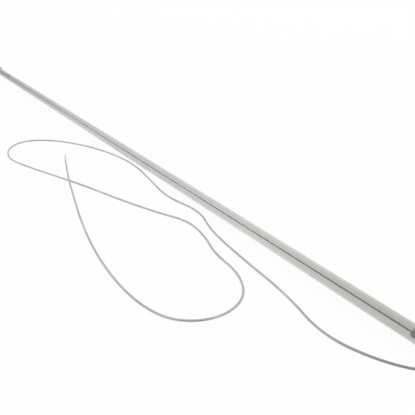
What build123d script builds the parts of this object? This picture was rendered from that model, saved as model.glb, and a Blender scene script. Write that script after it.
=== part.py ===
"""Inoculating loop: a glass needle holder with a collet chuck and a long free wire.

The spindle of the holder runs along X, with the chuck at +X. The holder lies on
the plane Z = 0, on the flats of two hexagons. Millimetres throughout.
"""
import os
from math import pi, radians, sqrt, tan

from build123d import *

os.makedirs("parts", exist_ok=True)

# --- driving dimensions -------------------------------------------------------
# glass handle
tube_d = 3.2  # outside diameter of the glass
tube_len = 260.0
capillary_d = 0.4  # fine bore along the middle
socket_d = 1.6  # wide bore at each end, for the metal shanks
socket_cone = 0.3  # length of the taper from the wide bore to the fine one
fire_polish = 0.3  # melted edge at each end of the glass

# core wire, which ties the two end fittings together through the glass
core_d = 0.28
core_grip = 2.9  # length soldered into the chuck's shank
core_tail = 0.3  # end left standing behind the anchor
core_hole_spare = 0.1  # hole in the shank past the end of the core wire
bead_d = 0.6
bead_len = 0.3
bead_round = 0.1

# fittings at both ends
front_insert = 17.25  # shank inside the glass
rear_insert = 24.0
shank_nose = 0.25  # radius round the inner end of a shank
nose_room = 0.1  # socket left empty past a shank's nose
gasket_t = 0.5
boss_len = 3.0  # collar between the gasket and the hexagon or flange
ferrule_cover = 5.0  # glass covered by each ferrule
ferrule_wall = 0.45
ferrule_round = 0.2  # free end
crimp_depth = 0.15  # rolled grooves round a ferrule
crimp_step = 1.0  # from the free end to the first groove, and between grooves
crimp_count = 2
hex_af = 5.0  # across the flats of the two hexagons that the holder lies on
hex_len = 4.0
hex_bevel = 0.35
hex_bevel_start = 0.1  # from the flats out to where the bevel begins

# chuck
barrel_d = 3.6
barrel_len = 7.5
pocket_d = 2.1  # bore that guides the collet
thread_pitch = 0.5
thread_depth = 0.15
thread_relief = 0.5  # plain length beside the hexagon or flange
thread_runout = 0.4  # plain length at the free end
spring_len = 2.5
spring_wire = 0.2
spring_mean_d = 1.6
spring_turns = 5
spring_clear = 0.02  # from each end of the coil to its seat
stem_len = 6.7  # collet's stem behind its head
stem_clear = 0.05  # radial clearance of the collet's stem in the pocket
head_gap = 0.2  # from the barrel to the collet's head
head_d = 3.0
head_land = 0.6  # straight part of the head, behind its cone
head_len = 3.8
tip_d = 1.8  # small end of the cone
jaw_slot = 0.3
stem_ring = 2.0  # stem left whole behind the jaws' slots
nut_d = 4.7
nut_gap = 0.6  # from the hexagon to the nut
nut_nose = 3.0  # length of the nut's own cone
nut_nose_d = 2.9
nut_bevel = 0.25  # rear edge
nut_short = 0.4  # the jaws stand this far out of the nut
knurl_count = 30
knurl_depth = 0.18
knurl_margin = 0.6  # plain band at each end of the knurl
running_clear = 0.05  # radial clearance of the nut's thread and cone

# working wire and the hub that the collet grips
wire_d = 0.5
hub_d = 0.8
hub_tip_d = 0.66
hub_reach = 2.5  # hub standing out of the jaws
hub_len = 10.5
hub_taper = 1.0  # length of its tapered end
hub_groove_back = 1.9  # from the hub's end back to the first crimped groove
hub_groove_pitch = 0.5
hub_groove_count = 2
hub_groove_depth = 0.08
grip_clear = 0.02  # radial

# rear fitting
flange_len = 1.5
flange_round = 0.2
stud_d = 2.4
stud_len = 6.0
cap_gap = 0.2
cap_len = 10.8
cap_bore_len = 8.8
cap_dome = 1.2  # length of the rounded end of the cap
cap_end_share = 0.55  # of the cap's radius, at its very end
cap_shoulder_share = 0.85  # of the cap's radius, a third of the way up the dome
fit_clear = 0.05  # radial clearance of sleeves, shanks and the cap's thread
washer_d = 2.0
washer_t = 0.15
washer_dish = 0.25
anchor_d = 1.0
anchor_len = 1.2
anchor_round = 0.2

cut_spare = 1.0  # how far a cutting box runs past what it cuts
same_place = 0.001  # two lengths closer than this are the same

# --- places along the spindle -------------------------------------------------
front_overhang = gasket_t + boss_len + hex_len + barrel_len + head_gap + head_len + hub_reach
rear_overhang = gasket_t + boss_len + flange_len + cap_gap + cap_len
tube_front = (tube_len + rear_overhang - front_overhang) / 2
tube_rear = tube_front - tube_len
spindle_z = hex_af / 2

boss_front = tube_front + gasket_t  # rear face of the chuck's boss
hex_rear = boss_front + boss_len
barrel_rear = hex_rear + hex_len
barrel_front = barrel_rear + barrel_len
head_rear = barrel_front + head_gap
jaw_front = head_rear + head_len
hub_front = jaw_front + hub_reach
nose_front = tube_front - front_insert  # nose of the chuck's shank, inside the glass
stem_rear = head_rear - stem_len
pocket_rear = stem_rear - spring_len

boss_back = tube_rear - gasket_t
flange_front = boss_back - boss_len
flange_back = flange_front - flange_len
stud_back = flange_back - stud_len
cap_front = flange_back - cap_gap
cap_back = cap_front - cap_len
nose_rear = tube_rear + rear_insert
anchor_front = stud_back - washer_t - washer_dish
anchor_back = anchor_front - anchor_len

turning_plane = Plane(origin=(0, 0, spindle_z), x_dir=(1, 0, 0), z_dir=(0, -1, 0))
spindle = Axis((0, 0, spindle_z), (1, 0, 0))


def turned(*profile):
    """Face with corners (x, radius), ready to be revolved round the spindle."""
    with BuildSketch(turning_plane) as face:
        with BuildLine():
            Polyline(*profile, close=True)
        make_face()
    return face.sketch


def grooves(first, step, count, radius, depth):
    """V grooves of one depth round a cylinder, the first at first and the rest by steps."""
    side = depth * sqrt(2)
    with BuildSketch(turning_plane) as cuts:
        with Locations(*[(first + step * i, radius) for i in range(count)]):
            Rectangle(side, side, rotation=45)
    return cuts.sketch


def thread_turns(length):
    """Thread grooves that fit on a stud or barrel between its relief and its run-out."""
    return int((length - thread_relief - thread_runout) / thread_pitch) + 1


def hexagon(x):
    """Hexagon across the spindle at x, with flats above and below."""
    with BuildSketch(Plane.YZ.offset(x)) as face:
        with Locations((0, spindle_z)):
            RegularPolygon(hex_af / 2, 6, major_radius=False)
    return face.sketch


def round_edges(part, radius, *places):
    """Circular edges of one radius at the given places along the spindle."""
    return [
        edge
        for edge in part.edges().filter_by(GeomType.CIRCLE)
        if abs(edge.radius - radius) < same_place
        and any(abs(edge.arc_center.X - x) < same_place for x in places)
    ]


def finish(part, name):
    part.label = name
    export_step(part, f"parts/{name}.step")


# --- glass handle ---------------------------------------------------------------
tube_r = tube_d / 2
socket_r = socket_d / 2
capillary_r = capillary_d / 2
front_socket = nose_front - nose_room
rear_socket = nose_rear + nose_room
with BuildPart() as handle_tube:
    revolve(
        turned(
            (tube_rear, socket_r),
            (tube_rear, tube_r),
            (tube_front, tube_r),
            (tube_front, socket_r),
            (front_socket, socket_r),
            (front_socket - socket_cone, capillary_r),
            (rear_socket + socket_cone, capillary_r),
            (rear_socket, socket_r),
        ),
        spindle,
    )
    fillet(round_edges(handle_tube.part, tube_r, tube_rear, tube_front), fire_polish)
finish(handle_tube.part, "handle_tube")

# --- core wire, its bead in front and its anchor behind --------------------------
core_r = core_d / 2
core_front = nose_front + core_grip
core_back = anchor_back - core_tail
with BuildPart() as core_wire:
    revolve(
        turned((core_back, 0), (core_back, core_r), (core_front, core_r), (core_front, 0)),
        spindle,
    )
finish(core_wire.part, "core_wire")

core_hole_r = core_r + grip_clear
bead_r = bead_d / 2
with BuildPart() as core_bead:
    revolve(
        turned(
            (nose_front - bead_len, core_hole_r),
            (nose_front - bead_len, bead_r),
            (nose_front, bead_r),
            (nose_front, core_hole_r),
        ),
        spindle,
    )
    fillet(round_edges(core_bead.part, bead_r, nose_front - bead_len), bead_round)
finish(core_bead.part, "core_bead")

anchor_r = anchor_d / 2
with BuildPart() as core_anchor:
    revolve(
        turned(
            (anchor_back, core_hole_r),
            (anchor_back, anchor_r),
            (anchor_front, anchor_r),
            (anchor_front, core_hole_r),
        ),
        spindle,
    )
    fillet(round_edges(core_anchor.part, anchor_r, anchor_back), anchor_round)
finish(core_anchor.part, "core_anchor")

# conical spring washer that keeps the core wire tight
washer_r = washer_d / 2
washer_hole_r = core_r + fit_clear
with BuildPart() as tension_washer:
    revolve(
        turned(
            (stud_back, washer_r),
            (stud_back - washer_t, washer_r),
            (anchor_front, washer_hole_r),
            (anchor_front + washer_t, washer_hole_r),
        ),
        spindle,
    )
finish(tension_washer.part, "tension_washer")

# --- chuck body: shank in the glass, boss, hexagon and threaded barrel ------------
shank_r = socket_r - fit_clear
barrel_r = barrel_d / 2
pocket_r = pocket_d / 2
bevel_r = hex_af / 2 + hex_bevel_start
hex_corner_r = hex_af / 2 + hex_bevel
core_hole_front = core_front + core_hole_spare
with BuildPart() as chuck_body:
    extrude(hexagon(hex_rear), hex_len)
    revolve(
        turned(
            (hex_rear, 0),
            (hex_rear, bevel_r),
            (hex_rear + hex_bevel, hex_corner_r),
            (barrel_rear - hex_bevel, hex_corner_r),
            (barrel_rear, bevel_r),
            (barrel_rear, 0),
        ),
        spindle,
        mode=Mode.INTERSECT,
    )
    revolve(
        turned(
            (nose_front, 0),
            (nose_front, shank_r),
            (boss_front, shank_r),
            (boss_front, tube_r),
            (hex_rear, tube_r),
            (hex_rear, barrel_r),
            (barrel_front, barrel_r),
            (barrel_front, 0),
        ),
        spindle,
    )
    fillet(round_edges(chuck_body.part, shank_r, nose_front), shank_nose)
    revolve(
        turned(
            (nose_front, 0),
            (nose_front, core_hole_r),
            (core_hole_front, core_hole_r),
            (core_hole_front, 0),
        ),
        spindle,
        mode=Mode.SUBTRACT,
    )
    revolve(
        turned((pocket_rear, 0), (pocket_rear, pocket_r), (barrel_front, pocket_r), (barrel_front, 0)),
        spindle,
        mode=Mode.SUBTRACT,
    )
    barrel_turns = thread_turns(barrel_len)
    revolve(
        grooves(barrel_rear + thread_relief, thread_pitch, barrel_turns, barrel_r, thread_depth),
        spindle,
        mode=Mode.SUBTRACT,
    )
finish(chuck_body.part, "chuck_body")


# --- gaskets and ferrules, one at each end ----------------------------------------
def make_gasket(low, name):
    """Soft ring between the end of the glass and the boss, from low up."""
    with BuildPart() as gasket:
        revolve(
            turned(
                (low, shank_r + grip_clear),
                (low, tube_r),
                (low + gasket_t, tube_r),
                (low + gasket_t, shank_r + grip_clear),
            ),
            spindle,
        )
    finish(gasket.part, name)


ferrule_bore_r = tube_r + fit_clear
ferrule_r = ferrule_bore_r + ferrule_wall


def make_ferrule(free_end, seat, name):
    """Sleeve over the glass, from its free end to its seat on the hexagon or flange."""
    step = crimp_step if seat > free_end else -crimp_step
    with BuildPart() as ferrule:
        revolve(
            turned(
                (free_end, ferrule_bore_r),
                (free_end, ferrule_r),
                (seat, ferrule_r),
                (seat, ferrule_bore_r),
            ),
            spindle,
        )
        fillet(round_edges(ferrule.part, ferrule_r, free_end), ferrule_round)
        revolve(
            grooves(free_end + step, step, crimp_count, ferrule_r, crimp_depth),
            spindle,
            mode=Mode.SUBTRACT,
        )
    finish(ferrule.part, name)


make_gasket(tube_front, "front_gasket")
make_gasket(boss_back, "rear_gasket")
make_ferrule(tube_front - ferrule_cover, hex_rear, "front_ferrule")
make_ferrule(tube_rear + ferrule_cover, flange_front, "rear_ferrule")

# --- collet, its spring and the knurled nut ----------------------------------------
stem_r = pocket_r - stem_clear
head_r = head_d / 2
tip_r = tip_d / 2
hub_r = hub_d / 2
jaw_bore_r = hub_r + grip_clear
slot_rear = stem_rear + stem_ring
slot_len = jaw_front + cut_spare - slot_rear
slot_height = head_d + cut_spare
with BuildPart() as collet:
    revolve(
        turned(
            (stem_rear, jaw_bore_r),
            (stem_rear, stem_r),
            (head_rear, stem_r),
            (head_rear, head_r),
            (head_rear + head_land, head_r),
            (jaw_front, tip_r),
            (jaw_front, jaw_bore_r),
        ),
        spindle,
    )
    with Locations((slot_rear + slot_len / 2, 0, spindle_z)):
        Box(slot_len, slot_height, jaw_slot, mode=Mode.SUBTRACT)
        Box(slot_len, jaw_slot, slot_height, mode=Mode.SUBTRACT)
finish(collet.part, "collet")

coil_r = spring_mean_d / 2
coil_len = spring_len - spring_wire - 2 * spring_clear
coil_start = pocket_rear + (spring_len - coil_len) / 2
with BuildPart() as collet_spring:
    with BuildLine() as coil:
        Helix(
            pitch=coil_len / spring_turns,
            height=coil_len,
            radius=coil_r,
            center=(coil_start, 0, spindle_z),
            direction=(1, 0, 0),
        )
    with BuildSketch(Plane(origin=coil.line @ 0, z_dir=coil.line % 0)):
        Circle(spring_wire / 2)
    sweep(path=coil.line, is_frenet=True)
finish(collet_spring.part, "collet_spring")

# the nut's inner cone lies on the collet's cone, one running clearance away
nut_r = nut_d / 2
nut_rear = barrel_rear + nut_gap
nut_front = jaw_front - nut_short
cone_slope = (head_r - tip_r) / (head_len - head_land)
cone_front_r = tip_r + cone_slope * nut_short + running_clear
nut_bore_r = barrel_r + running_clear
seat_rear = head_rear - running_clear
knurl_len = nut_front - nut_nose - nut_rear - 2 * knurl_margin
knurl_side = knurl_depth * sqrt(2)
with BuildPart() as chuck_nut:
    revolve(
        turned(
            (nut_rear, 0),
            (nut_rear, nut_r),
            (nut_front - nut_nose, nut_r),
            (nut_front, nut_nose_d / 2),
            (nut_front, 0),
        ),
        spindle,
    )
    chamfer(round_edges(chuck_nut.part, nut_r, nut_rear), nut_bevel)
    with BuildSketch(Plane.YZ.offset(nut_rear + knurl_margin)):
        with Locations((0, spindle_z)):
            with PolarLocations(nut_r, knurl_count):
                Rectangle(knurl_side, knurl_side, rotation=45)
    extrude(amount=knurl_len, mode=Mode.SUBTRACT)
    revolve(
        turned(
            (nut_rear, 0),
            (nut_rear, nut_bore_r),
            (seat_rear, nut_bore_r),
            (seat_rear, head_r + running_clear),
            (head_rear + head_land, head_r + running_clear),
            (nut_front, cone_front_r),
            (nut_front, 0),
        ),
        spindle,
        mode=Mode.SUBTRACT,
    )
finish(chuck_nut.part, "chuck_nut")

# --- hub crimped on the working wire ------------------------------------------------
hub_rear = hub_front - hub_len
with BuildPart() as wire_hub:
    revolve(
        turned(
            (hub_rear, 0),
            (hub_rear, hub_r),
            (hub_front - hub_taper, hub_r),
            (hub_front, hub_tip_d / 2),
            (hub_front, 0),
        ),
        spindle,
    )
    hub_groove = hub_front - hub_groove_back
    revolve(
        grooves(hub_groove, hub_groove_pitch, hub_groove_count, hub_r, hub_groove_depth),
        spindle,
        mode=Mode.SUBTRACT,
    )
finish(wire_hub.part, "wire_hub")

# --- working wire ----------------------------------------------------------------
# It leaves the hub, comes down to the plane it lies on, turns back beside the handle
# in loose curves and crosses over itself in a low hump near its free end.
wire_z = wire_d / 2
wire_route = [  # X counted from the front of the hub
    (0, 0, spindle_z),
    (6.25, 0, spindle_z),
    (14.25, -1.0, 1.2),
    (20.25, -6.0, wire_z),
    (17.25, -13.0, wire_z),
    (8.25, -14.5, wire_z),
    (-2.75, -11.0, wire_z),
    (-13.75, -6.0, wire_z),
    (-23.75, -2.5, wire_z),
    (-31.75, -2.3, wire_z),
    (-38.75, -7.7, wire_z),
    (-49.25, -11.0, wire_z),
    (-60.75, -8.0, wire_z),
    (-74.75, -7.0, wire_z),
    (-88.75, -5.4, wire_z),
    (-97.75, -1.8, wire_z),
    (-109.75, -4.6, wire_z),
    (-122.75, -2.2, wire_z),
    (-135.75, -0.7, wire_z),
    (-148.75, -3.0, wire_z),
    (-159.75, -7.2, wire_z),
    (-169.25, -13.0, wire_z),
    (-175.25, -21.0, wire_z),
    (-172.25, -28.0, wire_z),
    (-162.75, -31.0, wire_z),
    (-152.75, -28.0, wire_z),
    (-140.75, -23.5, wire_z),
    (-128.75, -19.2, wire_z),
    (-115.75, -15.3, wire_z),
    (-103.75, -11.0, wire_z),
    (-95.75, -7.2, wire_z),
    (-87.75, -8.0, wire_z),
    (-80.75, -10.6, wire_z),
    (-71.75, -11.0, wire_z),
    (-65.25, -15.0, wire_z),
    (-63.75, -21.5, wire_z),
    (-66.25, -27.5, wire_z),
    (-71.25, -31.5, wire_z),
    (-80.75, -33.2, wire_z),
    (-94.75, -32.3, wire_z),
    (-110.75, -29.0, wire_z),
    (-124.75, -25.0, 0.7),
    (-133.75, -22.4, 1.3),
    (-140.75, -20.0, 1.3),
    (-148.25, -17.4, 0.6),
    (-153.95, -15.3, wire_z),
]

corners = [Vector(hub_front + x, y, z) for x, y, z in wire_route]
runs = [b - a for a, b in zip(corners, corners[1:])]
run_share = 0.45  # of the shorter run that a corner's arc uses
wire_radii = []
for before, after in zip(runs, runs[1:]):
    half_turn = before.get_angle(after) / 2
    shorter = min(before.length, after.length)
    wire_radii.append(run_share * shorter / tan(radians(half_turn)))

with BuildPart() as working_wire:
    with BuildLine() as route:
        FilletPolyline(*corners, radius=wire_radii)
    with BuildSketch(Plane(origin=route.line @ 0, z_dir=route.line % 0)):
        Circle(wire_d / 2)
    sweep(path=route.line)
finish(working_wire.part, "working_wire")
wire_len = route.wire().length
wire_section = pi * wire_d**2 / 4
print("wire radii", [round(radius, 1) for radius in wire_radii])
print(f"wire length {wire_len:.1f}, volume {working_wire.part.volume:.2f}")
print(f"section times length {wire_section * wire_len:.2f}")

# --- rear plug and cap -------------------------------------------------------------
stud_r = stud_d / 2
flange_r = ferrule_r  # the ferrule's seat is as wide as the ferrule
plug_hole_r = core_r + fit_clear
with BuildPart() as rear_plug:
    revolve(
        turned(
            (nose_rear, plug_hole_r),
            (nose_rear, shank_r),
            (boss_back, shank_r),
            (boss_back, tube_r),
            (flange_front, tube_r),
            (flange_front, flange_r),
            (flange_back, flange_r),
            (flange_back, stud_r),
            (stud_back, stud_r),
            (stud_back, plug_hole_r),
        ),
        spindle,
    )
    fillet(round_edges(rear_plug.part, shank_r, nose_rear), shank_nose)
    fillet(round_edges(rear_plug.part, flange_r, flange_front, flange_back), flange_round)
    stud_turns = thread_turns(stud_len)
    revolve(
        grooves(flange_back - thread_relief, -thread_pitch, stud_turns, stud_r, thread_depth),
        spindle,
        mode=Mode.SUBTRACT,
    )
finish(rear_plug.part, "rear_plug")

cap_r = hex_af / 2
cap_bore_r = stud_r + fit_clear
cap_bore_end = cap_front - cap_bore_len
with BuildPart() as rear_cap:
    extrude(hexagon(cap_back), cap_len)
    revolve(
        turned(
            (cap_back, 0),
            (cap_back, cap_r * cap_end_share),
            (cap_back + cap_dome / 3, cap_r * cap_shoulder_share),
            (cap_back + cap_dome, hex_corner_r),
            (cap_front - hex_bevel, hex_corner_r),
            (cap_front, bevel_r),
            (cap_front, 0),
        ),
        spindle,
        mode=Mode.INTERSECT,
    )
    revolve(
        turned(
            (cap_front, 0),
            (cap_front, cap_bore_r),
            (cap_bore_end, cap_bore_r),
            (cap_bore_end, 0),
        ),
        spindle,
        mode=Mode.SUBTRACT,
    )
finish(rear_cap.part, "rear_cap")
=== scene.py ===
import bmesh
import bpy
import numpy as np
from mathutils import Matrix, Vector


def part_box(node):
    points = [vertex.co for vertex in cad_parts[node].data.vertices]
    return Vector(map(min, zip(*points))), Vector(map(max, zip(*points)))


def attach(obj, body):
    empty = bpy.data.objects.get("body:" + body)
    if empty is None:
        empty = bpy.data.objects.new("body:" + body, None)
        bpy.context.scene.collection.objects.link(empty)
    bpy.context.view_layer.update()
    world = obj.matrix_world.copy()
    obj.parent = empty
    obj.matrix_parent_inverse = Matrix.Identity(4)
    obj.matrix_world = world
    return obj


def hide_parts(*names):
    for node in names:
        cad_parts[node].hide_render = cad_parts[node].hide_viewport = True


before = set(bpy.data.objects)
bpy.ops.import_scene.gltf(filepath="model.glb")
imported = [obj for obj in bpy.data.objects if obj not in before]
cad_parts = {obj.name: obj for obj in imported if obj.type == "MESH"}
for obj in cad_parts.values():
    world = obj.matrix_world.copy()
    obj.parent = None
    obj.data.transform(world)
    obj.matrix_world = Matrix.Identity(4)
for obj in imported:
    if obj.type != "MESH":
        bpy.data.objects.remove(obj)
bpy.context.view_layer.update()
mm = 0.001
print("frame loaded")


def ends(node, axis=0):
    # where a CAD node begins and ends, along the spindle unless another axis is given
    low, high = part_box(node)
    return low[axis] / mm, high[axis] / mm


spindleZ = sum(ends("handle_tube", 2)) / 2  # height of the spindle over the bench
tubeRear, tubeFront = ends("handle_tube")
hubRear, hubFront = ends("wire_hub")
noseFront = ends("chuck_body")[0]  # where the two shanks end inside the glass
noseRear = ends("rear_plug")[1]

# The camera stands at place, in millimetres, turned by tilt and heading, in degrees.
view = dict(place=(134.146, -63.887, 61.221), tilt=60.0, heading=52.2, lens=39.89)
camera = bpy.data.objects.new("camera", bpy.data.cameras.new("camera"))
camera.location = np.array(view["place"]) * mm
camera.rotation_euler = np.radians((view["tilt"], 0, view["heading"]))
camera.data.lens = view["lens"]
camera.data.clip_start = 0.001
bpy.context.scene.collection.objects.link(camera)
bpy.context.scene.camera = camera
bpy.context.scene.view_settings.view_transform = "Standard"
print("camera set")

creaseAngle = 40  # edges that turn by more than this stay sharp, in degrees


def buildMesh(name, points, closed, attributes):
    # A grid of points, rows along the profile and columns all the way round, becomes
    # quads. closed joins the last row to the first. Equal points merge into poles.
    rows, columns = points.shape[:2]
    index = np.arange(rows * columns).reshape(rows, columns)
    upper = np.roll(index, -1, axis=0)
    if not closed:
        index, upper = index[:-1], upper[:-1]
    corners = [index, np.roll(index, -1, 1), np.roll(upper, -1, 1), upper]
    quads = np.stack(corners, axis=-1).reshape(-1, 4)
    mesh = bpy.data.meshes.new(name)
    mesh.from_pydata((points.reshape(-1, 3) * mm).tolist(), [], quads.tolist())
    for key, values in attributes.items():
        kind, field = ("FLOAT", "value") if values.ndim == 2 else ("FLOAT_VECTOR", "vector")
        layer = mesh.attributes.new(key, kind, "POINT")
        layer.data.foreach_set(field, values.astype(np.float32).ravel())
    edit = bmesh.new()
    edit.from_mesh(mesh)
    bmesh.ops.remove_doubles(edit, verts=edit.verts, dist=1e-8)
    bmesh.ops.dissolve_degenerate(edit, edges=edit.edges, dist=1e-9)
    bmesh.ops.recalc_face_normals(edit, faces=edit.faces)
    edit.to_mesh(mesh)
    edit.free()
    mesh.shade_smooth()
    mesh.set_sharp_from_angle(angle=np.radians(creaseAngle))
    piece = bpy.data.objects.new(name, mesh)
    bpy.context.scene.collection.objects.link(piece)
    return piece


roundSteps = 5  # points on each rounded corner
wearCuts = (0.05, 0.06)  # a corner whose cut is between these wears fully, in millimetres


def roundProfile(corners):
    # Corners are (x, radius, cut, spacing). Each becomes a parabola from cut before it
    # to cut after it: (1-t)^2 start + 2t(1-t) corner + t^2 end. edge, where a corner
    # wears bright, is 4t(1-t) there, and weaker on a very fine or a broad rounding.
    # Runs between corners get points no further apart than the corner's spacing.
    corners = np.array(corners, float)
    place, cut, spacing = corners[:, :2], corners[:, 2:3], corners[:, 3]
    before = np.roll(place, 1, axis=0) - place
    after = np.roll(place, -1, axis=0) - place
    before /= np.maximum(np.linalg.norm(before, axis=1, keepdims=True), 1e-9)
    after /= np.maximum(np.linalg.norm(after, axis=1, keepdims=True), 1e-9)
    t = np.linspace(0, 1, roundSteps)[None, :, None]
    start, end = (place + before * cut)[:, None], (place + after * cut)[:, None]
    curve = (1 - t) ** 2 * start + 2 * t * (1 - t) * place[:, None] + t**2 * end
    broad = np.maximum(cut, 1e-9)
    strength = np.minimum(broad / wearCuts[0], 1) * np.minimum(wearCuts[1] / broad, 1)
    edge = (4 * t * (1 - t))[..., 0] * strength
    widest = np.full(curve.shape[:2], np.inf)
    widest[:, -1] = spacing
    profile, edge, widest = curve.reshape(-1, 2), edge.reshape(-1), widest.reshape(-1)
    following = np.roll(profile, -1, axis=0)
    runs = np.linalg.norm(following - profile, axis=1)
    counts = np.maximum(np.ceil(runs / widest).astype(int), 1)
    owner = np.repeat(np.arange(len(profile)), counts)
    first = np.repeat(np.cumsum(counts) - counts, counts)
    share = (np.arange(len(owner)) - first) / counts[owner]
    fine = profile[owner] + (following - profile)[owner] * share[:, None]
    return fine, edge[owner] * (share == 0), counts[-1]


def turnPiece(name, corners, segments, closed=False, shape=None, wear=None):
    # A point (x, radius) of the profile goes round the spindle by the angle a:
    # y = radius cos a, z = spindle height + radius sin a. shape gives a new radius and
    # wear a new worn value for whole arrays of x, radius and angle. A profile that isn't
    # closed starts and ends on the spindle.
    profile, edge, lastRun = roundProfile(corners)
    if not closed:
        profile, edge = profile[: len(profile) - lastRun + 1], edge[: len(edge) - lastRun + 1]
    angle = np.linspace(0, 2 * np.pi, segments, endpoint=False)[None, :]
    x = np.repeat(profile[:, :1], segments, axis=1)
    radius = np.repeat(profile[:, 1:], segments, axis=1)
    worn = np.repeat(edge[:, None], segments, axis=1)
    if wear:
        worn = np.maximum(worn, wear(x, radius, angle))
    if shape:
        radius = shape(x, radius, angle)
    points = np.stack([x, radius * np.cos(angle), spindleZ + radius * np.sin(angle)], axis=-1)
    return buildMesh(name, points, closed, {"worn": worn})


def tubeAlong(name, path, radius, segments, upright=(0, 0, 1)):
    # A circle is carried along the path. side is square to the path and to upright, and
    # up is square to both: point = path + radius (cos a side + sin a up). The ends are
    # closed. drawn holds cos a, sin a and the distance along the path, for the finish.
    tangent = np.gradient(path, axis=0)
    tangent /= np.linalg.norm(tangent, axis=1, keepdims=True)
    side = np.cross(tangent, upright)
    side /= np.linalg.norm(side, axis=1, keepdims=True)
    up = np.cross(side, tangent)
    length = np.concatenate([[0], np.cumsum(np.linalg.norm(np.diff(path, axis=0), axis=1))])
    angle = np.linspace(0, 2 * np.pi, segments, endpoint=False)
    level, raised = np.cos(angle)[None, :, None], np.sin(angle)[None, :, None]
    ring = level * side[:, None] + raised * up[:, None]
    radius = np.broadcast_to(radius, len(path))[:, None, None]
    points = path[:, None] + radius * ring
    around = np.broadcast_to(angle, points.shape[:2])
    drawn = np.stack(
        [np.cos(around), np.sin(around), np.broadcast_to(length[:, None], around.shape)], -1
    )
    points = np.concatenate([points[:1] * 0 + path[0], points, points[:1] * 0 + path[-1]])
    drawn = np.concatenate([drawn[:1], drawn, drawn[-1:]])
    return buildMesh(name, points, False, {"drawn": drawn})


class Signal:  # an output socket, used like a number in shader maths
    def __init__(self, finish, socket):
        self.finish, self.socket = finish, socket

    def math(self, operation, first, second=0.0):
        return self.finish.add("Math", {"operation": operation}, {0: first, 1: second})

    def __add__(self, other):
        return self.math("ADD", self, other)

    def __sub__(self, other):
        return self.math("SUBTRACT", self, other)

    def __rsub__(self, other):
        return self.math("SUBTRACT", other, self)

    def __mul__(self, other):
        return self.math("MULTIPLY", self, other)

    def __pow__(self, other):
        return self.math("POWER", self, other)

    def largest(self, other):
        return self.math("MAXIMUM", self, other)

    __radd__, __rmul__ = __add__, __mul__


def greyColour(level):
    return (level, level, level, 1)


class Finish:  # one material, or the world
    def __init__(self, name, library="materials"):
        self.owner = getattr(bpy.data, library).new(name)
        self.owner.use_nodes = True
        self.nodes, self.links = self.owner.node_tree.nodes, self.owner.node_tree.links
        self.nodes.clear()

    def add(self, kind, settings=None, sockets=None, output=0):
        # settings are set first; stops are a ramp's (place, grey) pairs
        node = self.nodes.new("ShaderNode" + kind)
        for key, value in (settings or {}).items():
            if key == "stops":
                ramp = node.color_ramp.elements
                while len(ramp) < len(value):
                    ramp.new(0.5)
                for stop, (place, grey) in zip(ramp, value):
                    stop.position, stop.color = place, greyColour(grey)
            else:
                setattr(node, key, value)
        for key, value in (sockets or {}).items():
            if isinstance(value, Signal):
                self.links.new(value.socket, node.inputs[key])
            else:
                node.inputs[key].default_value = value
        return Signal(self, node.outputs[output]) if node.outputs else None

    def millimetres(self):
        # object coordinates in millimetres
        where = self.add("TexCoord", output="Object")
        return self.add("VectorMath", {"operation": "SCALE"}, {0: where, "Scale": 1 / mm})

    def fromSpindle(self, scaled):
        # the three parts of such coordinates, with y and z counted from the spindle
        parts = self.add("SeparateXYZ", None, {0: scaled}).socket.node.outputs
        x, y, z = (Signal(self, part) for part in parts)
        return x, y, z - spindleZ

    def vector(self, x, y, z):
        return self.add("CombineXYZ", None, {0: x, 1: y, 2: z})

    def noise(self, vector, scale, detail, roughness=0.5):
        sockets = {"Vector": vector, "Scale": scale, "Detail": detail, "Roughness": roughness}
        return self.add("TexNoise", None, sockets)

    def ramp(self, value, *stops):
        return self.add("ValToRGB", {"stops": stops}, {0: value})

    def blend(self, share, first, second, kind="MIX"):
        first, second = (c if isinstance(c, Signal) else (*c, 1) for c in (first, second))
        settings = {"data_type": "RGBA", "blend_type": kind}
        return self.add("Mix", settings, {0: share, 6: first, 7: second}, 2)

    def bump(self, height, distance):
        sockets = {"Strength": 1.0, "Distance": distance * mm, "Height": height}
        return self.add("Bump", None, sockets)

    def surface(self, sockets):
        return self.add("BsdfPrincipled", None, sockets)

    def shownRay(self):
        # 1 on rays that show the background as it is: to the camera, in gloss, in glass
        rays = self.add("LightPath").socket.node.outputs
        kinds = ("Camera", "Glossy", "Transmission")
        seen, glossy, through = (Signal(self, rays[f"Is {kind} Ray"]) for kind in kinds)
        return seen.largest(glossy).largest(through)

    def done(self, surface, volume=None, kind="Material"):
        sockets = {"Surface": surface, "Volume": volume} if volume else {"Surface": surface}
        self.add("Output" + kind, None, sockets)
        return self.owner


def place(piece, body, material, materialSlot, node):
    # gives a piece its material, says which body it rides, and hides the CAD node that it
    # replaces
    piece.data.materials.clear()
    piece.data.materials.append(material)
    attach(piece, body)
    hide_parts(node)


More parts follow.
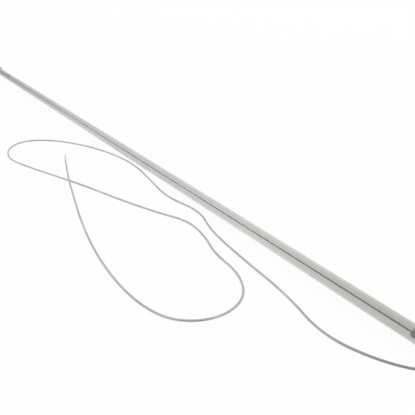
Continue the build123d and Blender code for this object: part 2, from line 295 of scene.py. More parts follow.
wire = dict(
    diameter=0.5,
    hidden=0.4,  # length inside the hub
    tip=0.18,  # length of the rounded tip
    segments=16,
    stepsPerSpan=24,
    colour=(0.43, 0.43, 0.41),
    pale=(0.55, 0.55, 0.53),
    roughness=0.38,
    lines=(7, 7, 0.35),  # fineness of the drawing lines across and along the wire
    lineDepth=0.004,
    patches=0.22,  # fineness of the paler patches
    tipHighlight=(0.74, 0.74, 0.72),  # painted highlight: the last few millimetres drawn brighter, as if lifted into the light
    tipHighlightLength=6.0,
    shadedNearHub=(0.38, 0.38, 0.365),  # painted shade: darker from the hub, fading out between the two lengths
    shadedNearHubLength=(94.0, 104.0),
)
wireZ = wire["diameter"] / 2
wireRoute = [  # x counted from the front of the hub
    (0, 0, spindleZ),
    (6.25, 0, spindleZ),
    (14.25, -1, 1.2),
    (20.25, -6, wireZ),
    (17.25, -13, wireZ),
    (8.25, -14.5, wireZ),
    (-2.75, -11, wireZ),
    (-13.75, -6, wireZ),
    (-23.75, -2.5, wireZ),
    (-31.75, -2.3, wireZ),
    (-38.75, -7.7, wireZ),
    (-49.25, -11, wireZ),
    (-60.75, -8, wireZ),
    (-74.75, -7, wireZ),
    (-88.75, -5.4, wireZ),
    (-97.75, -1.8, wireZ),
    (-109.75, -4.6, wireZ),
    (-122.75, -2.2, wireZ),
    (-135.75, -0.7, wireZ),
    (-148.75, -3, wireZ),
    (-159.75, -7.2, wireZ),
    (-169.25, -13, wireZ),
    (-175.25, -21, wireZ),
    (-172.25, -28, wireZ),
    (-162.75, -31, wireZ),
    (-152.75, -28, wireZ),
    (-140.75, -23.5, wireZ),
    (-128.75, -19.2, wireZ),
    (-115.75, -15.3, wireZ),
    (-103.75, -11, wireZ),
    (-95.75, -7.2, wireZ),
    (-87.75, -8, wireZ),
    (-80.75, -10.6, wireZ),
    (-71.75, -11, wireZ),
    (-65.25, -15, wireZ),
    (-63.75, -21.5, wireZ),
    (-66.25, -27.5, wireZ),
    (-71.25, -31.5, wireZ),
    (-80.75, -33.2, wireZ),
    (-94.75, -32.3, wireZ),
    (-110.75, -29, wireZ),
    (-124.75, -25, 0.7),
    (-133.75, -22.4, 1.3),
    (-140.75, -20, 1.3),
    (-148.25, -17.4, 0.6),
    (-153.95, -15.3, wireZ),
]


def smoothRoute(route, steps):
    # a quadratic NURBS spline with the route's points as its control points
    curve = bpy.data.curves.new("route", "CURVE")
    curve.dimensions = "3D"
    spline = curve.splines.new("NURBS")
    spline.points.add(len(route) - 1)
    weighted = np.c_[np.array(route), np.ones(len(route))]
    spline.points.foreach_set("co", weighted.ravel())
    spline.order_u = 3
    spline.use_endpoint_u = True
    spline.resolution_u = steps
    holder = bpy.data.objects.new("route", curve)
    line = bpy.data.meshes.new_from_object(holder)
    path = np.zeros(len(line.vertices) * 3)
    line.vertices.foreach_get("co", path)
    bpy.data.objects.remove(holder)
    bpy.data.curves.remove(curve)
    bpy.data.meshes.remove(line)
    return path.reshape(-1, 3)


def wireFinish():
    # fine lines along the wire and paler patches, with painted shade near the hub and a painted
    # highlight at the tip
    finish = Finish("drawn alloy wire")
    drawn = finish.add("Attribute", {"attribute_name": "drawn"}, output="Vector")
    stretch = {0: drawn, 1: wire["lines"]}
    stretched = finish.add("VectorMath", {"operation": "MULTIPLY"}, stretch)
    lines = finish.noise(stretched, 1.0, 3.0)
    patches = finish.noise(finish.millimetres(), wire["patches"], 3.0)
    shade = finish.ramp(patches * 0.65 + lines * 0.35, (0.36, 0), (0.62, 1))
    body = finish.blend(shade, wire["colour"], wire["pale"])
    distance = finish.add("SeparateXYZ", None, {0: drawn}, 2)
    # painted shade: the wire's colour is darker from the hub and fades out between the two
    # lengths
    dark, plain = (length / wireLength for length in wire["shadedNearHubLength"])
    hubShade = finish.ramp(distance * (1 / wireLength), (dark, 1), (plain, 0))
    body = finish.blend(hubShade, body, wire["shadedNearHub"])
    # painted highlight: the last few millimetres of the wire are drawn paler
    tipHighlight = wire["tipHighlightLength"]
    nearTip = distance * (1 / tipHighlight) + (1 - wireLength / tipHighlight)
    tipShare = finish.ramp(nearTip, (0.1, 0), (0.8, 1))
    sockets = {
        "Base Color": finish.blend(tipShare, body, wire["tipHighlight"]),
        "Metallic": 1.0,
        "Roughness": lines * 0.16 + (wire["roughness"] - 0.08),
        "Normal": finish.bump(lines, wire["lineDepth"]),
    }
    return finish.done(finish.surface(sockets))


wirePath = smoothRoute([(hubFront + x, y, z) for x, y, z in wireRoute], wire["stepsPerSpan"])
wireLength = np.linalg.norm(np.diff(wirePath, axis=0), axis=1).sum()
heading = wirePath[-1] - wirePath[-2]
heading /= np.linalg.norm(heading)
tipTurn = np.linspace(0, np.pi / 2, 6)[1:]
tipPath = wirePath[-1] + heading * wire["tip"] * np.sin(tipTurn)[:, None]
fullPath = np.concatenate([wirePath[:1] - (wire["hidden"], 0, 0), wirePath, tipPath])
wireRadius = np.full(len(fullPath), wireZ)
wireRadius[-len(tipTurn):] = wireZ * np.cos(tipTurn)
wireRadius[-1] = 0
workingWire = tubeAlong("workingWire", fullPath, wireRadius, wire["segments"])
place(workingWire, "collet", wireFinish(), "wire_alloy", "working_wire")
print("working wire made,", round(wireLength, 1), "mm")

glass = dict(
    radius=1.6,
    firePolish=0.3,
    socketRadius=0.8,
    noseRoom=0.1,  # socket left empty past a shank's nose
    cone=0.3,
    boreRadius=0.2,
    segments=96,
    ringSpacing=2.0,
    drawWave=0.0012,  # share of the radius by which the drawn glass swells and narrows
    tint=(0.95, 0.95, 0.94),
    streakTint=(0.78, 0.785, 0.755),
    band=(0.90, 0.90, 0.885),  # painted shade: a darker band on the upper back of the glass, for the dark reflection from above
    bandSide=(0.686, 0.728),  # its direction from the spindle, in y and z
    bandPlace=(0.1, 0.35, 0.65, 0.95),  # where it fades in and out, in millimetres
    frontShade=(0.56, 0.56, 0.53),  # painted shade: tint that darkens the glass towards its front end
    frontShadeLength=58.0,  # back from the front end of the glass
    stain=(0.37, 0.37, 0.35),  # tint round the rear shank
    stainLength=95.0,
    depthTint=(0.02, 0.03, 0.02),  # near black, so the glass dims what passes through it
    density=120.0,
    roughness=0.08,
    index=1.15,  # low under a strong coat, so that the outline stays soft
    coatRoughness=0.08,
    coatIndex=1.8,
)


def drawnWave(x, radius, angle):
    # slow swelling along the tube, which turns a little round it: 1 + share * sin
    swell = np.sin(x / 5.3 + np.sin(x / 17.0) + angle) + 0.6 * np.sin(x / 2.1 - 2 * angle)
    return radius * (1 + glass["drawWave"] * swell * (radius > glass["radius"] * 0.95))


def glassFinish():
    # streaks along the glass, a painted shade band on its upper back, painted shade towards its
    # front, and a stain at its rear
    finish = Finish("drawn glass, painted shade")
    x, y, z = finish.fromSpindle(finish.millimetres())
    streaks = finish.noise(finish.vector(x * 0.02, y * 2.6, z * 2.6), 1.0, 3.0, 0.55)
    share = finish.ramp(streaks, (0.36, 0), (0.66, 1))
    drawn = finish.blend(share, glass["tint"], glass["streakTint"])
    # painted shade: a band on the upper back of the glass is multiplied darker
    across = y * glass["bandSide"][0] + z * glass["bandSide"][1] + streaks * 0.2 - 0.1
    fadeIn, full, fadeOut, gone = (edge / 2 for edge in glass["bandPlace"])
    band = finish.ramp(across * 0.5, (fadeIn, 0), (full, 1), (fadeOut, 1), (gone, 0))
    # painted shade: the glass is tinted darker towards its front end
    near = x * (1 / glass["frontShadeLength"]) + (1 - tubeFront / glass["frontShadeLength"])
    clouds = finish.noise(finish.vector(x * 0.06, y * 0.5, z * 0.5), 1.0, 3.0)
    frontShade = finish.ramp(near + clouds * 0.3 - 0.15, (0, 0), (1, 1))
    far = x * (-1 / glass["stainLength"]) + (1 + tubeRear / glass["stainLength"])
    stain = finish.ramp(far + clouds * 0.2 - 0.1, (0, 0), (1, 1))
    tint = finish.blend(frontShade, drawn, glass["frontShade"])
    stained = finish.blend(stain, tint, glass["stain"])
    sockets = {
        "Base Color": finish.blend(band, stained, glass["band"], "MULTIPLY"),
        "Roughness": streaks * 0.05 + (glass["roughness"] - 0.025),
        "IOR": glass["index"],
        "Transmission Weight": 1.0,
        "Coat Weight": 1.0,
        "Coat Roughness": glass["coatRoughness"],
        "Coat IOR": glass["coatIndex"],
        "Normal": finish.bump(streaks, 0.003),
    }
    inside = {"Color": (*glass["depthTint"], 1), "Density": glass["density"]}
    return finish.done(finish.surface(sockets), finish.add("VolumeAbsorption", None, inside))


tubeRadius, socket, bore = glass["radius"], glass["socketRadius"], glass["boreRadius"]
polish, cone, ringStep = glass["firePolish"], glass["cone"], glass["ringSpacing"]
frontSocket, rearSocket = noseFront - glass["noseRoom"], noseRear + glass["noseRoom"]
glassTube = turnPiece(
    "glassTube",
    [
        (tubeRear, socket, 0.1, 1),
        (tubeRear, tubeRadius, polish, ringStep),
        (tubeFront, tubeRadius, polish, 1),
        (tubeFront, socket, 0.1, ringStep),
        (frontSocket, socket, 0.1, 1),
        (frontSocket - cone, bore, 0.05, ringStep),
        (rearSocket + cone, bore, 0.05, 1),
        (rearSocket, socket, 0.1, ringStep),
    ],
    segments=glass["segments"],
    closed=True,
    shape=drawnWave,
)
place(glassTube, "holder", glassFinish(), "tube_glass", "handle_tube")
print("glass handle made")


def turnedFinish(name, look):
    # rings follow x and the distance from the spindle, so they go round every surface
    finish = Finish(name)
    scaled = finish.millimetres()
    x, y, z = finish.fromSpindle(scaled)
    radius = (y * y + z * z) ** 0.5
    pitch = 1 / look["ringPitch"]
    fine = finish.noise(finish.vector(x * pitch, radius * pitch, 0), 1.0, 3.0, 0.6)
    broken = finish.noise(finish.vector(x * pitch * 0.6, y * 1.3, z * 1.3), 1.0, 3.0)
    smudge = finish.ramp(finish.noise(scaled, look["smudgeScale"], 4.0), (0.40, 0), (0.62, 1))
    worn = finish.add("Attribute", {"attribute_name": "worn"}, output="Fac")
    body = finish.blend(smudge, look["colour"], look["dull"])
    body = finish.blend(worn * 0.7, body, look["bright"])
    height = fine * 0.7 + broken * 0.3
    rough = fine * 0.14 + smudge * 0.14 - worn * 0.08 + (look["roughness"] - 0.12)
    sockets = {
        "Base Color": body,
        "Metallic": 1.0,
        "Roughness": rough,
        "Normal": finish.bump(height, look["ringDepth"]),
    }
    return finish.done(finish.surface(sockets))


def drawnFinish(name, look):
    # lines run along the spindle, for sleeves and wires that are drawn through a die
    finish = Finish(name)
    scaled = finish.millimetres()
    x, y, z = finish.fromSpindle(scaled)
    lines = finish.noise(finish.vector(x * 0.25, y * look["lines"], z * look["lines"]), 1.0, 3.0)
    smudge = finish.ramp(finish.noise(scaled, look["smudgeScale"], 4.0), (0.38, 0), (0.64, 1))
    worn = finish.add("Attribute", {"attribute_name": "worn"}, output="Fac")
    body = finish.blend(smudge, look["colour"], look["dull"])
    if "aged" in look:  # darker towards the rear of the handle
        age = x * (1 / (tubeRear - tubeFront)) + tubeFront / (tubeFront - tubeRear)
        body = finish.blend(finish.ramp(age, (0.1, 0), (0.8, 1)), body, look["aged"])
    body = finish.blend(worn * 0.6, body, look["bright"])
    sockets = {
        "Base Color": body,
        "Metallic": 1.0,
        "Roughness": lines * 0.2 + smudge * 0.1 + (look["roughness"] - 0.15),
        "Normal": finish.bump(lines, look["lineDepth"]),
    }
    return finish.done(finish.surface(sockets))


# colour and dull alternate in patches, and bright is where an edge has worn.
chuckSteel = dict(
    colour=(0.28, 0.28, 0.275),
    dull=(0.22, 0.22, 0.215),
    bright=(0.48, 0.48, 0.47),
    roughness=0.32,
    ringPitch=0.09,
    ringDepth=0.004,
    smudgeScale=0.35,
)
nutNickel = dict(
    colour=(0.47, 0.46, 0.44),
    dull=(0.42, 0.41, 0.39),
    bright=(0.72, 0.71, 0.68),
    roughness=0.27,
    ringPitch=0.12,
    ringDepth=0.003,
    smudgeScale=0.8,
)
turnedBrass = dict(
    colour=(0.66, 0.49, 0.20),
    dull=(0.42, 0.29, 0.11),
    bright=(0.85, 0.68, 0.34),
    roughness=0.30,
    ringPitch=0.07,
    ringDepth=0.003,
    smudgeScale=0.7,
)
sleeveAluminium = dict(
    colour=(0.62, 0.62, 0.63),
    dull=(0.56, 0.56, 0.57),
    bright=(0.86, 0.86, 0.87),
    roughness=0.38,
    lines=5.0,
    lineDepth=0.003,
    smudgeScale=0.8,
)
coreSteel = dict(
    colour=(0.31, 0.31, 0.30),
    dull=(0.24, 0.24, 0.23),
    aged=(0.10, 0.10, 0.095),  # what the colour turns to at the rear
    bright=(0.2, 0.2, 0.19),
    roughness=0.5,
    lines=9.0,
    lineDepth=0.002,
    smudgeScale=0.3,
)
springSteel = dict(
    colour=(0.45, 0.45, 0.46),
    dull=(0.30, 0.30, 0.31),
    bright=(0.6, 0.6, 0.6),
    roughness=0.34,
    lines=9.0,
    lineDepth=0.002,
    smudgeScale=0.9,
)
plugSteel = dict(chuckSteel, colour=(0.13, 0.13, 0.125), dull=(0.09, 0.09, 0.085))
steelFinish = turnedFinish("turned chuck steel", chuckSteel)
plugFinish = turnedFinish("oil-blacked plug steel", plugSteel)
nickelFinish = turnedFinish("nickel-plated steel", nutNickel)
brassFinish = turnedFinish("turned brass", turnedBrass)
aluminiumFinish = drawnFinish("drawn aluminium", sleeveAluminium)
coreFinish = drawnFinish("oxidised core steel", coreSteel)
springFinish = drawnFinish("spring steel", springSteel)

core = dict(
    radius=0.14,
    hole=0.16,  # radius of the hole for it in its fittings
    waver=0.012,  # how far it wanders from the middle of its bore
    straightRear=27.0,  # lengths that lie straight at the two ends
    straightFront=5.0,
    easing=12.0,
)
coreLow, coreHigh = ends("core_wire")
along = np.append(np.arange(coreLow, coreHigh, 1.0), coreHigh)
# The wire lies in slow waves in its bore: waver * slack * sin(x / 9.1 + sin(x / 23)) to
# the side, and a sine of its own upwards. slack is 0 in the straight ends, 1 between.
rearSlack = np.clip((along - coreLow - core["straightRear"]) / core["easing"], 0, 1)
frontSlack = np.clip((coreHigh - core["straightFront"] - along) / core["easing"], 0, 1)
slack = rearSlack * frontSlack
sway = core["waver"] * slack * np.sin(along / 9.1 + np.sin(along / 23))
lift = core["waver"] * slack * (0.6 * np.sin(along / 6.3 + 1) - 0.4)
corePath = np.stack([along, sway, spindleZ + lift], axis=1)
coreWire = tubeAlong("coreWire", corePath, core["radius"], 20)
place(coreWire, "holder", coreFinish, "core_steel", "core_wire")

bead = dict(radius=0.3)
beadLow, beadHigh = ends("core_bead")
coreBead = turnPiece(
    "coreBead",
    [
        (beadLow, core["hole"], 0.02, 1),
        (beadLow, bead["radius"], 0.12, 1),
        (beadHigh, bead["radius"], 0.02, 1),
        (beadHigh, core["hole"], 0, 1),
    ],
    segments=40,
    closed=True,
)
place(coreBead, "holder", coreFinish, "core_steel", "core_bead")

anchor = dict(radius=0.5)
anchorLow, anchorHigh = ends("core_anchor")
coreAnchor = turnPiece(
    "coreAnchor",
    [
        (anchorLow, core["hole"], 0.03, 1),
        (anchorLow, anchor["radius"], 0.2, 0.2),
        (anchorHigh, anchor["radius"], 0.06, 1),
        (anchorHigh, core["hole"], 0, 1),
    ],
    segments=48,
    closed=True,
)
place(coreAnchor, "holder", coreFinish, "core_steel", "core_anchor")

washer = dict(radius=1.0, hole=0.19, thick=0.15)  # a shallow cone
washerLow, washerHigh = ends("tension_washer")
tensionWasher = turnPiece(
    "tensionWasher",
    [
        (washerLow, washer["hole"], 0.03, 0.2),
        (washerHigh - washer["thick"], washer["radius"], 0.04, 1),
        (washerHigh, washer["radius"], 0.04, 0.2),
        (washerLow + washer["thick"], washer["hole"], 0.03, 1),
    ],
    segments=64,
    closed=True,
)
place(tensionWasher, "holder", springFinish, "spring_steel", "tension_washer")
print("core wire and its fittings made")

# Shared by the chuck body, plug and cap; fine is the spacing of the grid on them.
hexagon = dict(flat=2.5, corner=2.85, bevelStart=2.6, bevel=0.35, fine=0.05)
thread = dict(pitch=0.5, depth=0.15, relief=0.5, runOut=0.4, fade=0.2, fine=0.04)


def onSurface(radius, wanted):
    # true at the points of the profile that lie on the surface of that radius
    return np.abs(radius - wanted) < 0.01


def hexLimit(x, radius, angle):
    # the nearest flat is at flat / cos(angle from its middle); only the outside is cut
    away = np.mod(angle, np.pi / 3) - np.pi / 6
    outside = radius > hexagon["flat"] * 0.9
    return np.where(outside, np.minimum(radius, hexagon["flat"] / np.cos(away)), radius)


def threadCut(x, angle, start, end):
    # One V groove that climbs a pitch a turn: depth - distance from the groove's middle,
    # never below 0. It starts and ends half a pitch outside start and end.
    start, end = start - thread["pitch"] / 2, end + thread["pitch"] / 2
    turns = (x - start) / thread["pitch"] - angle / (2 * np.pi)
    off = np.abs(turns - np.floor(turns) - 0.5) * thread["pitch"]
    rise, fall = (np.clip(room / thread["fade"], 0, 1) for room in (x - start, end - x))
    return np.maximum(thread["depth"] - off, 0) * rise * fall


chuck = dict(
    shank=0.75,
    nose=0.25,
    boss=1.6,
    barrel=1.8,
    barrelLength=7.5,
    hexLength=4.0,
    bossLength=3.0,
    pocket=1.05,
    pocketDepth=9.0,
    coreHoleDepth=3.0,
)
barrelFront = ends("chuck_body")[1]
barrelRear = barrelFront - chuck["barrelLength"]
hexRear = barrelRear - chuck["hexLength"]
bossRear = hexRear - chuck["bossLength"]
pocketRear = barrelFront - chuck["pocketDepth"]


def chuckShape(x, radius, angle):
    # the flats of the hexagon, and the thread's groove taken off the barrel
    onBarrel = (x > barrelRear) & onSurface(radius, chuck["barrel"])
    start, end = barrelRear + thread["relief"], barrelFront - thread["runOut"]
    return hexLimit(x, radius, angle) - onBarrel * threadCut(x, angle, start, end)


chuckBody = turnPiece(
    "chuckBody",
    [
        (noseFront + chuck["coreHoleDepth"], 0, 0, 1),
        (noseFront + chuck["coreHoleDepth"], core["hole"], 0, 1),
        (noseFront, core["hole"], 0.02, 1),
        (noseFront, chuck["shank"], chuck["nose"], 1),
        (bossRear, chuck["shank"], 0.05, 1),
        (bossRear, chuck["boss"], 0.06, 1),
        (hexRear, chuck["boss"], 0.04, 0.2),
        (hexRear, hexagon["bevelStart"], 0, hexagon["fine"]),
        (hexRear + hexagon["bevel"], hexagon["corner"], 0, 0.3),
        (barrelRear - hexagon["bevel"], hexagon["corner"], 0, hexagon["fine"]),
        (barrelRear, hexagon["bevelStart"], 0, 0.2),
        (barrelRear, chuck["barrel"], 0.04, thread["fine"]),
        (barrelFront, chuck["barrel"], 0.06, 0.2),
        (barrelFront, chuck["pocket"], 0.06, 1),
        (pocketRear, chuck["pocket"], 0.03, 0.4),
        (pocketRear, 0, 0, 1),
    ],
    segments=180,
    shape=chuckShape,
)
place(chuckBody, "holder", steelFinish, "chuck_steel", "chuck_body")

plug = dict(hole=0.19, flange=2.1, flangeLength=1.5, stud=1.2, studLength=6.0, bossLength=3.0)
studBack = ends("rear_plug")[0]
flangeBack = studBack + plug["studLength"]
flangeFront = flangeBack + plug["flangeLength"]
bossBack = flangeFront + plug["bossLength"]


def plugShape(x, radius, angle):
    # the thread's groove taken off the stud
    onStud = (x < flangeBack) & onSurface(radius, plug["stud"])
    start, end = studBack + thread["runOut"], flangeBack - thread["relief"]
    return radius - onStud * threadCut(x, angle, start, end)


rearPlug = turnPiece(
    "rearPlug",
    [
        (noseRear, plug["hole"], 0.03, 1),
        (noseRear, chuck["shank"], chuck["nose"], 1),
        (bossBack, chuck["shank"], 0.05, 1),
        (bossBack, chuck["boss"], 0.06, 1),
        (flangeFront, chuck["boss"], 0.04, 1),
        (flangeFront, plug["flange"], 0.2, 0.2),
        (flangeBack, plug["flange"], 0.2, 0.2),
        (flangeBack, plug["stud"], 0.04, thread["fine"]),
        (studBack, plug["stud"], 0.12, 0.2),
        (studBack, plug["hole"], 0.03, 1),
    ],
    segments=96,
    closed=True,
    shape=plugShape,
)
place(rearPlug, "holder", plugFinish, "chuck_steel", "rear_plug")

cap = dict(end=1.375, shoulder=2.125, dome=1.2, bore=1.25, boreDepth=8.8)
capBack, capFront = ends("rear_cap")
rearCap = turnPiece(
    "rearCap",
    [
        (capBack, 0, 0, 0.2),
        (capBack, cap["end"], 0.42, 0.1),
        (capBack + cap["dome"] / 3, cap["shoulder"], 0.38, hexagon["fine"]),
        (capBack + cap["dome"], hexagon["corner"], 0, 0.3),
        (capFront - hexagon["bevel"], hexagon["corner"], 0, hexagon["fine"]),
        (capFront, hexagon["bevelStart"], 0, 0.2),
        (capFront, cap["bore"], 0.06, 0.5),
        (capFront - cap["boreDepth"], cap["bore"], 0.03, 0.3),
        (capFront - cap["boreDepth"], 0, 0, 1),
    ],
    segments=180,
    shape=hexLimit,
)
place(rearCap, "holder", nickelFinish, "nut_steel", "rear_cap")
print("chuck body, plug and cap made")

gasket = dict(
    inner=0.77,
    outer=1.6,
    swell=0.03,
    colour=(0.018, 0.018, 0.018),
    bloom=(0.05, 0.05, 0.048),  # greyer patches
    roughness=0.65,
)


def rubberFinish():
    # black, with a greyer bloom in patches and a fine grain
    finish = Finish("black rubber")
    scaled = finish.millimetres()
    grain = finish.noise(scaled, 9.0, 3.0)
    bloom = finish.ramp(finish.noise(scaled, 0.9, 3.0), (0.4, 0), (0.7, 1))
    sockets = {
        "Base Color": finish.blend(bloom, gasket["colour"], gasket["bloom"]),
        "Roughness": grain * 0.2 + (gasket["roughness"] - 0.1),
        "Normal": finish.bump(grain, 0.01),
    }
    return finish.done(finish.surface(sockets))


rubber = rubberFinish()
for name, node in (("frontGasket", "front_gasket"), ("rearGasket", "rear_gasket")):
    low, high = ends(node)

    def gasketShape(x, radius, angle):
        # the squeezed outside swells by swell * sin(pi * share of the length)
        squeezed = np.sin(np.pi * np.clip((x - low) / (high - low), 0, 1))
        return radius + gasket["swell"] * squeezed * (radius > gasket["outer"] * 0.95)

    ring = turnPiece(
        name,
        [
            (low, gasket["inner"], 0.03, 1),
            (low, gasket["outer"], 0.08, 0.06),
            (high, gasket["outer"], 0.08, 1),
            (high, gasket["inner"], 0.03, 1),
        ],
        segments=72,
        closed=True,
        shape=gasketShape,
    )
    place(ring, "holder", rubber, "gasket_rubber", node)

ferrule = dict(inner=1.65, outer=2.1, lip=0.2, crimp=0.15, crimpStep=1.0, crimps=2)
sides = (("frontFerrule", "front_ferrule", 1), ("rearFerrule", "rear_ferrule", -1))
for name, node, inward in sides:
    free, seat = ends(node)[::inward]  # the lip on the glass, and the end at the boss
    corners = [(free, ferrule["inner"], 0.05, 1), (free, ferrule["outer"], ferrule["lip"], 0.3)]
    for i in range(1, ferrule["crimps"] + 1):
        middle, wide = free + inward * i * ferrule["crimpStep"], inward * ferrule["crimp"]
        corners += [
            (middle - wide, ferrule["outer"], 0.06, 1),
            (middle, ferrule["outer"] - ferrule["crimp"], 0.08, 1),
            (middle + wide, ferrule["outer"], 0.06, 0.5),
        ]
    corners += [(seat, ferrule["outer"], 0.05, 1), (seat, ferrule["inner"], 0.03, 1)]
    sleeve = turnPiece(name, corners, segments=96, closed=True)
    place(sleeve, "holder", aluminiumFinish, "ferrule_aluminium", node)
print("gaskets and ferrules made")

collet = dict(
    stem=1.0,
    bore=0.42,
    headLength=3.8,
    head=1.5,
    headLand=0.6,
    tip=0.9,
    slot=0.3,
    ring=2.0,  # length of the stem that stays whole behind the slots
    slotReach=4.0,  # of the slotting blades, well past the jaws
    crease=35,  # edges of the cut jaws that turn by more than this stay sharp, in degrees
)
stemRear, jawFront = ends("collet")
headRear = jawFront - collet["headLength"]
jaws = turnPiece(
    "collet",
    [
        (stemRear, collet["bore"], 0.04, 1),
        (stemRear, collet["stem"], 0.08, 0.5),
        (headRear, collet["stem"], 0.04, 1),
        (headRear, collet["head"], 0.08, 0.3),
        (headRear + collet["headLand"], collet["head"], 0.05, 0.3),
        (jawFront, collet["tip"], 0.06, 1),
        (jawFront, collet["bore"], 0.05, 0.5),
    ],
    segments=96,
    closed=True,
)


def cutSlots(piece, start, end):
    # two thin boxes, upright and level, are taken out of the jaws
    centre = np.array([(start + end) / 2, 0, spindleZ])
    length, width, reach = end - start, collet["slot"], collet["slotReach"]
    for size in ((length, width, reach), (length, reach, width)):
        edit = bmesh.new()
        bmesh.ops.create_cube(edit, size=1)
        blade = bpy.data.meshes.new("blade")
        edit.to_mesh(blade)
        edit.free()
        cube = np.zeros(len(blade.vertices) * 3)
        blade.vertices.foreach_get("co", cube)
        box = cube.reshape(-1, 3) * size + centre
        blade.vertices.foreach_set("co", (box * mm).ravel())
        knife = bpy.data.objects.new("blade", blade)
        bpy.context.scene.collection.objects.link(knife)
        cut = piece.modifiers.new("slot", "BOOLEAN")
        cut.object, cut.operation, cut.solver = knife, "DIFFERENCE", "EXACT"
        graph = bpy.context.evaluated_depsgraph_get()
        result = bpy.data.meshes.new_from_object(piece.evaluated_get(graph))
        piece.modifiers.clear()
        piece.data = result
        bpy.data.objects.remove(knife)
    piece.data.set_sharp_from_angle(angle=np.radians(collet["crease"]))


cutSlots(jaws, stemRear + collet["ring"], jawFront + 1)  # the blades end past the jaws
place(jaws, "collet", brassFinish, "collet_brass", "collet")

spring = dict(wire=0.1, mean=0.8, turns=5, steps=240)  # wire and mean are radii
springLow, springHigh = ends("collet_spring")
wound = np.linspace(0, 1, spring["steps"] + 1)
turn = 2 * np.pi * spring["turns"] * wound
springRoom = springHigh - springLow - 2 * spring["wire"]
springX = springLow + spring["wire"] + springRoom * wound
springY, springZ = spring["mean"] * np.cos(turn), spindleZ + spring["mean"] * np.sin(turn)
springPath = np.stack([springX, springY, springZ], axis=1)
colletSpring = tubeAlong("colletSpring", springPath, spring["wire"], 12, upright=(1, 0, 0))
place(colletSpring, "holder", springFinish, "spring_steel", "collet_spring")

nut = dict(
    radius=2.35,
    bore=1.85,
    bevel=0.25,
    nose=3.0,
    noseRadius=1.45,
    coneFront=1.0,
    seat=1.55,
    seatRoom=0.05,
    knurls=30,
    knurlDepth=0.18,
    margin=0.6,  # left smooth at each end of the knurling
    fade=0.12,  # over which the knurling deepens
    fineEnd=1.0,  # length at each end where the grid is fine
)
nutRear, nutFront = ends("chuck_nut")
noseStart = nutFront - nut["nose"]


def knurlPlace(angle):
    # distance round the rim from the middle of the nearest groove, in millimetres
    count = angle * nut["knurls"] / (2 * np.pi)
    return np.abs(count - np.round(count)) * 2 * np.pi * nut["radius"] / nut["knurls"]


def onKnurl(x, radius):
    # 1 on the knurled part of the rim, easing to 0 past its two ends
    rooms = (x - nutRear - nut["margin"], noseStart - nut["margin"] - x)
    rise, fall = (np.clip(room / nut["fade"], 0, 1) for room in rooms)
    return rise * fall * onSurface(radius, nut["radius"])


def nutShape(x, radius, angle):
    # V grooves along the rim: depth - distance from the groove's middle, never below 0
    return radius - onKnurl(x, radius) * np.maximum(nut["knurlDepth"] - knurlPlace(angle), 0)


def nutWear(x, radius, angle):
    # the ridges between the grooves are worn
    return onKnurl(x, radius) * (knurlPlace(angle) > nut["knurlDepth"])


chuckNut = turnPiece(
    "chuckNut",
    [
        (nutRear, nut["bore"], 0.1, 1),
        (nutRear, nut["radius"], nut["bevel"], 0.1),
        (nutRear + nut["fineEnd"], nut["radius"], 0, 0.3),
        (noseStart - nut["fineEnd"], nut["radius"], 0, 0.1),
        (noseStart, nut["radius"], 0.2, 0.3),
        (nutFront, nut["noseRadius"], 0.1, 1),
        (nutFront, nut["coneFront"], 0.04, 0.4),
        (headRear + collet["headLand"], nut["seat"], 0, 0.3),
        (headRear - nut["seatRoom"], nut["seat"], 0, 1),
        (headRear - nut["seatRoom"], nut["bore"], 0, 0.5),
    ],
    segments=360,
    closed=True,
    shape=nutShape,
    wear=nutWear,
)
place(chuckNut, "chuck_nut", nickelFinish, "nut_steel", "chuck_nut")

hub = dict(
    radius=0.4,
    tip=0.33,
    taper=1.0,
    grooves=(1.9, 1.4),  # places of the two crimped grooves, back from the front
    groove=0.08,
    mouth=0.26,
    mouthDepth=0.5,
)
corners = [(hubRear, 0, 0, 1), (hubRear, hub["radius"], 0.06, 0.5)]
for back in hub["grooves"]:
    corners += [
        (hubFront - back - hub["groove"], hub["radius"], 0.02, 1),
        (hubFront - back, hub["radius"] - hub["groove"], 0.03, 1),
        (hubFront - back + hub["groove"], hub["radius"], 0.02, 0.5),
    ]
corners += [
    (hubFront - hub["taper"], hub["radius"], 0.1, 0.3),
    (hubFront, hub["tip"], 0.03, 1),
    (hubFront, hub["mouth"], 0.02, 1),
    (hubFront - hub["mouthDepth"], hub["mouth"], 0, 1),
    (hubFront - hub["mouthDepth"], 0, 0, 1),
]
wireHub = turnPiece("wireHub", corners, segments=64)
place(wireHub, "collet", brassFinish, "hub_brass", "wire_hub")
print("collet, spring, nut and hub made")

# The stage is in metres, but for drop, the millimetres that the floor lies under the piece.
# Headings are in degrees from +X.
stage = dict(size=8.0, drop=0.05, floorWhite=0.86, shown=0.95, worldLevel=0.75)
flag = dict(heading=-37.8, away=0.6, height=0.3, width=0.7, tall=0.6, grey=0.24)
lamps = dict(
    left=dict(heading=142.2, away=0.9, height=0.7, size=0.8, power=3.0),
    right=dict(heading=52.2, away=0.9, height=0.7, size=0.8, power=3.0),
)


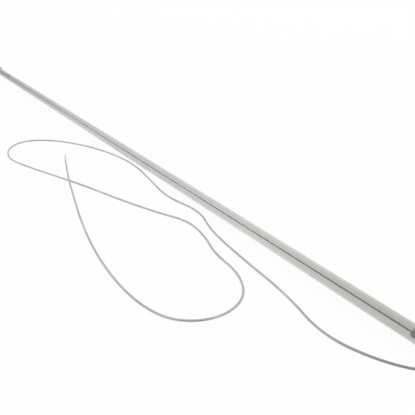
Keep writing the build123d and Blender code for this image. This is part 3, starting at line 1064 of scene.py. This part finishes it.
def floorFinish():
    # matte under the lamps, and nearly plain white on the rays that show the background
    finish = Finish("white bench")
    matte = finish.add("BsdfDiffuse", None, {"Color": greyColour(stage["floorWhite"])})
    glow = finish.add("Emission", None, {"Color": greyColour(1), "Strength": 1.0})
    share = finish.shownRay() * stage["shown"]
    return finish.done(finish.add("MixShader", None, {0: share, 1: matte, 2: glow}))


def worldFinish():
    # a soft light on the object, and plain white where the background shows
    finish = Finish("pale room", "worlds")
    white = greyColour(1)
    soft = finish.add("Background", None, {"Color": white, "Strength": stage["worldLevel"]})
    plain = finish.add("Background", None, {"Color": white, "Strength": 1.0})
    room = finish.add("MixShader", None, {0: finish.shownRay(), 1: soft, 2: plain})
    return finish.done(room, kind="World")


def flagFinish():
    finish = Finish("dark card")
    grey = {"Color": greyColour(flag["grey"])}
    return finish.done(finish.add("BsdfDiffuse", None, grey))


def addBoard(name, middle, across, upward, material):
    # a flat board whose corners are middle -+ across -+ upward, in metres
    signs = np.array([(-1, -1), (1, -1), (1, 1), (-1, 1)])
    corners = middle + signs @ np.array([across, upward])
    mesh = bpy.data.meshes.new(name)
    mesh.from_pydata(corners.tolist(), [], [(0, 1, 2, 3)])
    mesh.materials.append(material)
    board = bpy.data.objects.new(name, mesh)
    bpy.context.scene.collection.objects.link(board)
    return board


def aim(heading, away, height):
    # a point at a heading from +X round the object, in metres
    turn = np.radians(heading)
    return np.array([away * np.cos(turn), away * np.sin(turn), height])


half, low = stage["size"] / 2, -stage["drop"] * mm
addBoard("floor", (0, 0, low), (half, 0, 0), (0, half, 0), floorFinish())
middle = aim(flag["heading"], flag["away"], flag["height"])
across = aim(flag["heading"] + 90, flag["width"] / 2, 0)
card = addBoard("flagCard", middle, across, (0, 0, flag["tall"] / 2), flagFinish())
card.visible_camera = False  # it only gives the metal something dark to reflect
bpy.context.scene.world = worldFinish()

for name, lamp in lamps.items():
    light = bpy.data.lights.new(name, "AREA")
    light.size, light.energy = lamp["size"], lamp["power"]
    holder = bpy.data.objects.new(name, light)
    holder.location = aim(lamp["heading"], lamp["away"], lamp["height"])
    lean = np.arctan2(lamp["away"], lamp["height"])
    holder.rotation_euler = (0, lean, np.radians(lamp["heading"]))
    holder.visible_glossy = False  # the pale room alone shows in the gloss
    bpy.context.scene.collection.objects.link(holder)
print("stage lit")
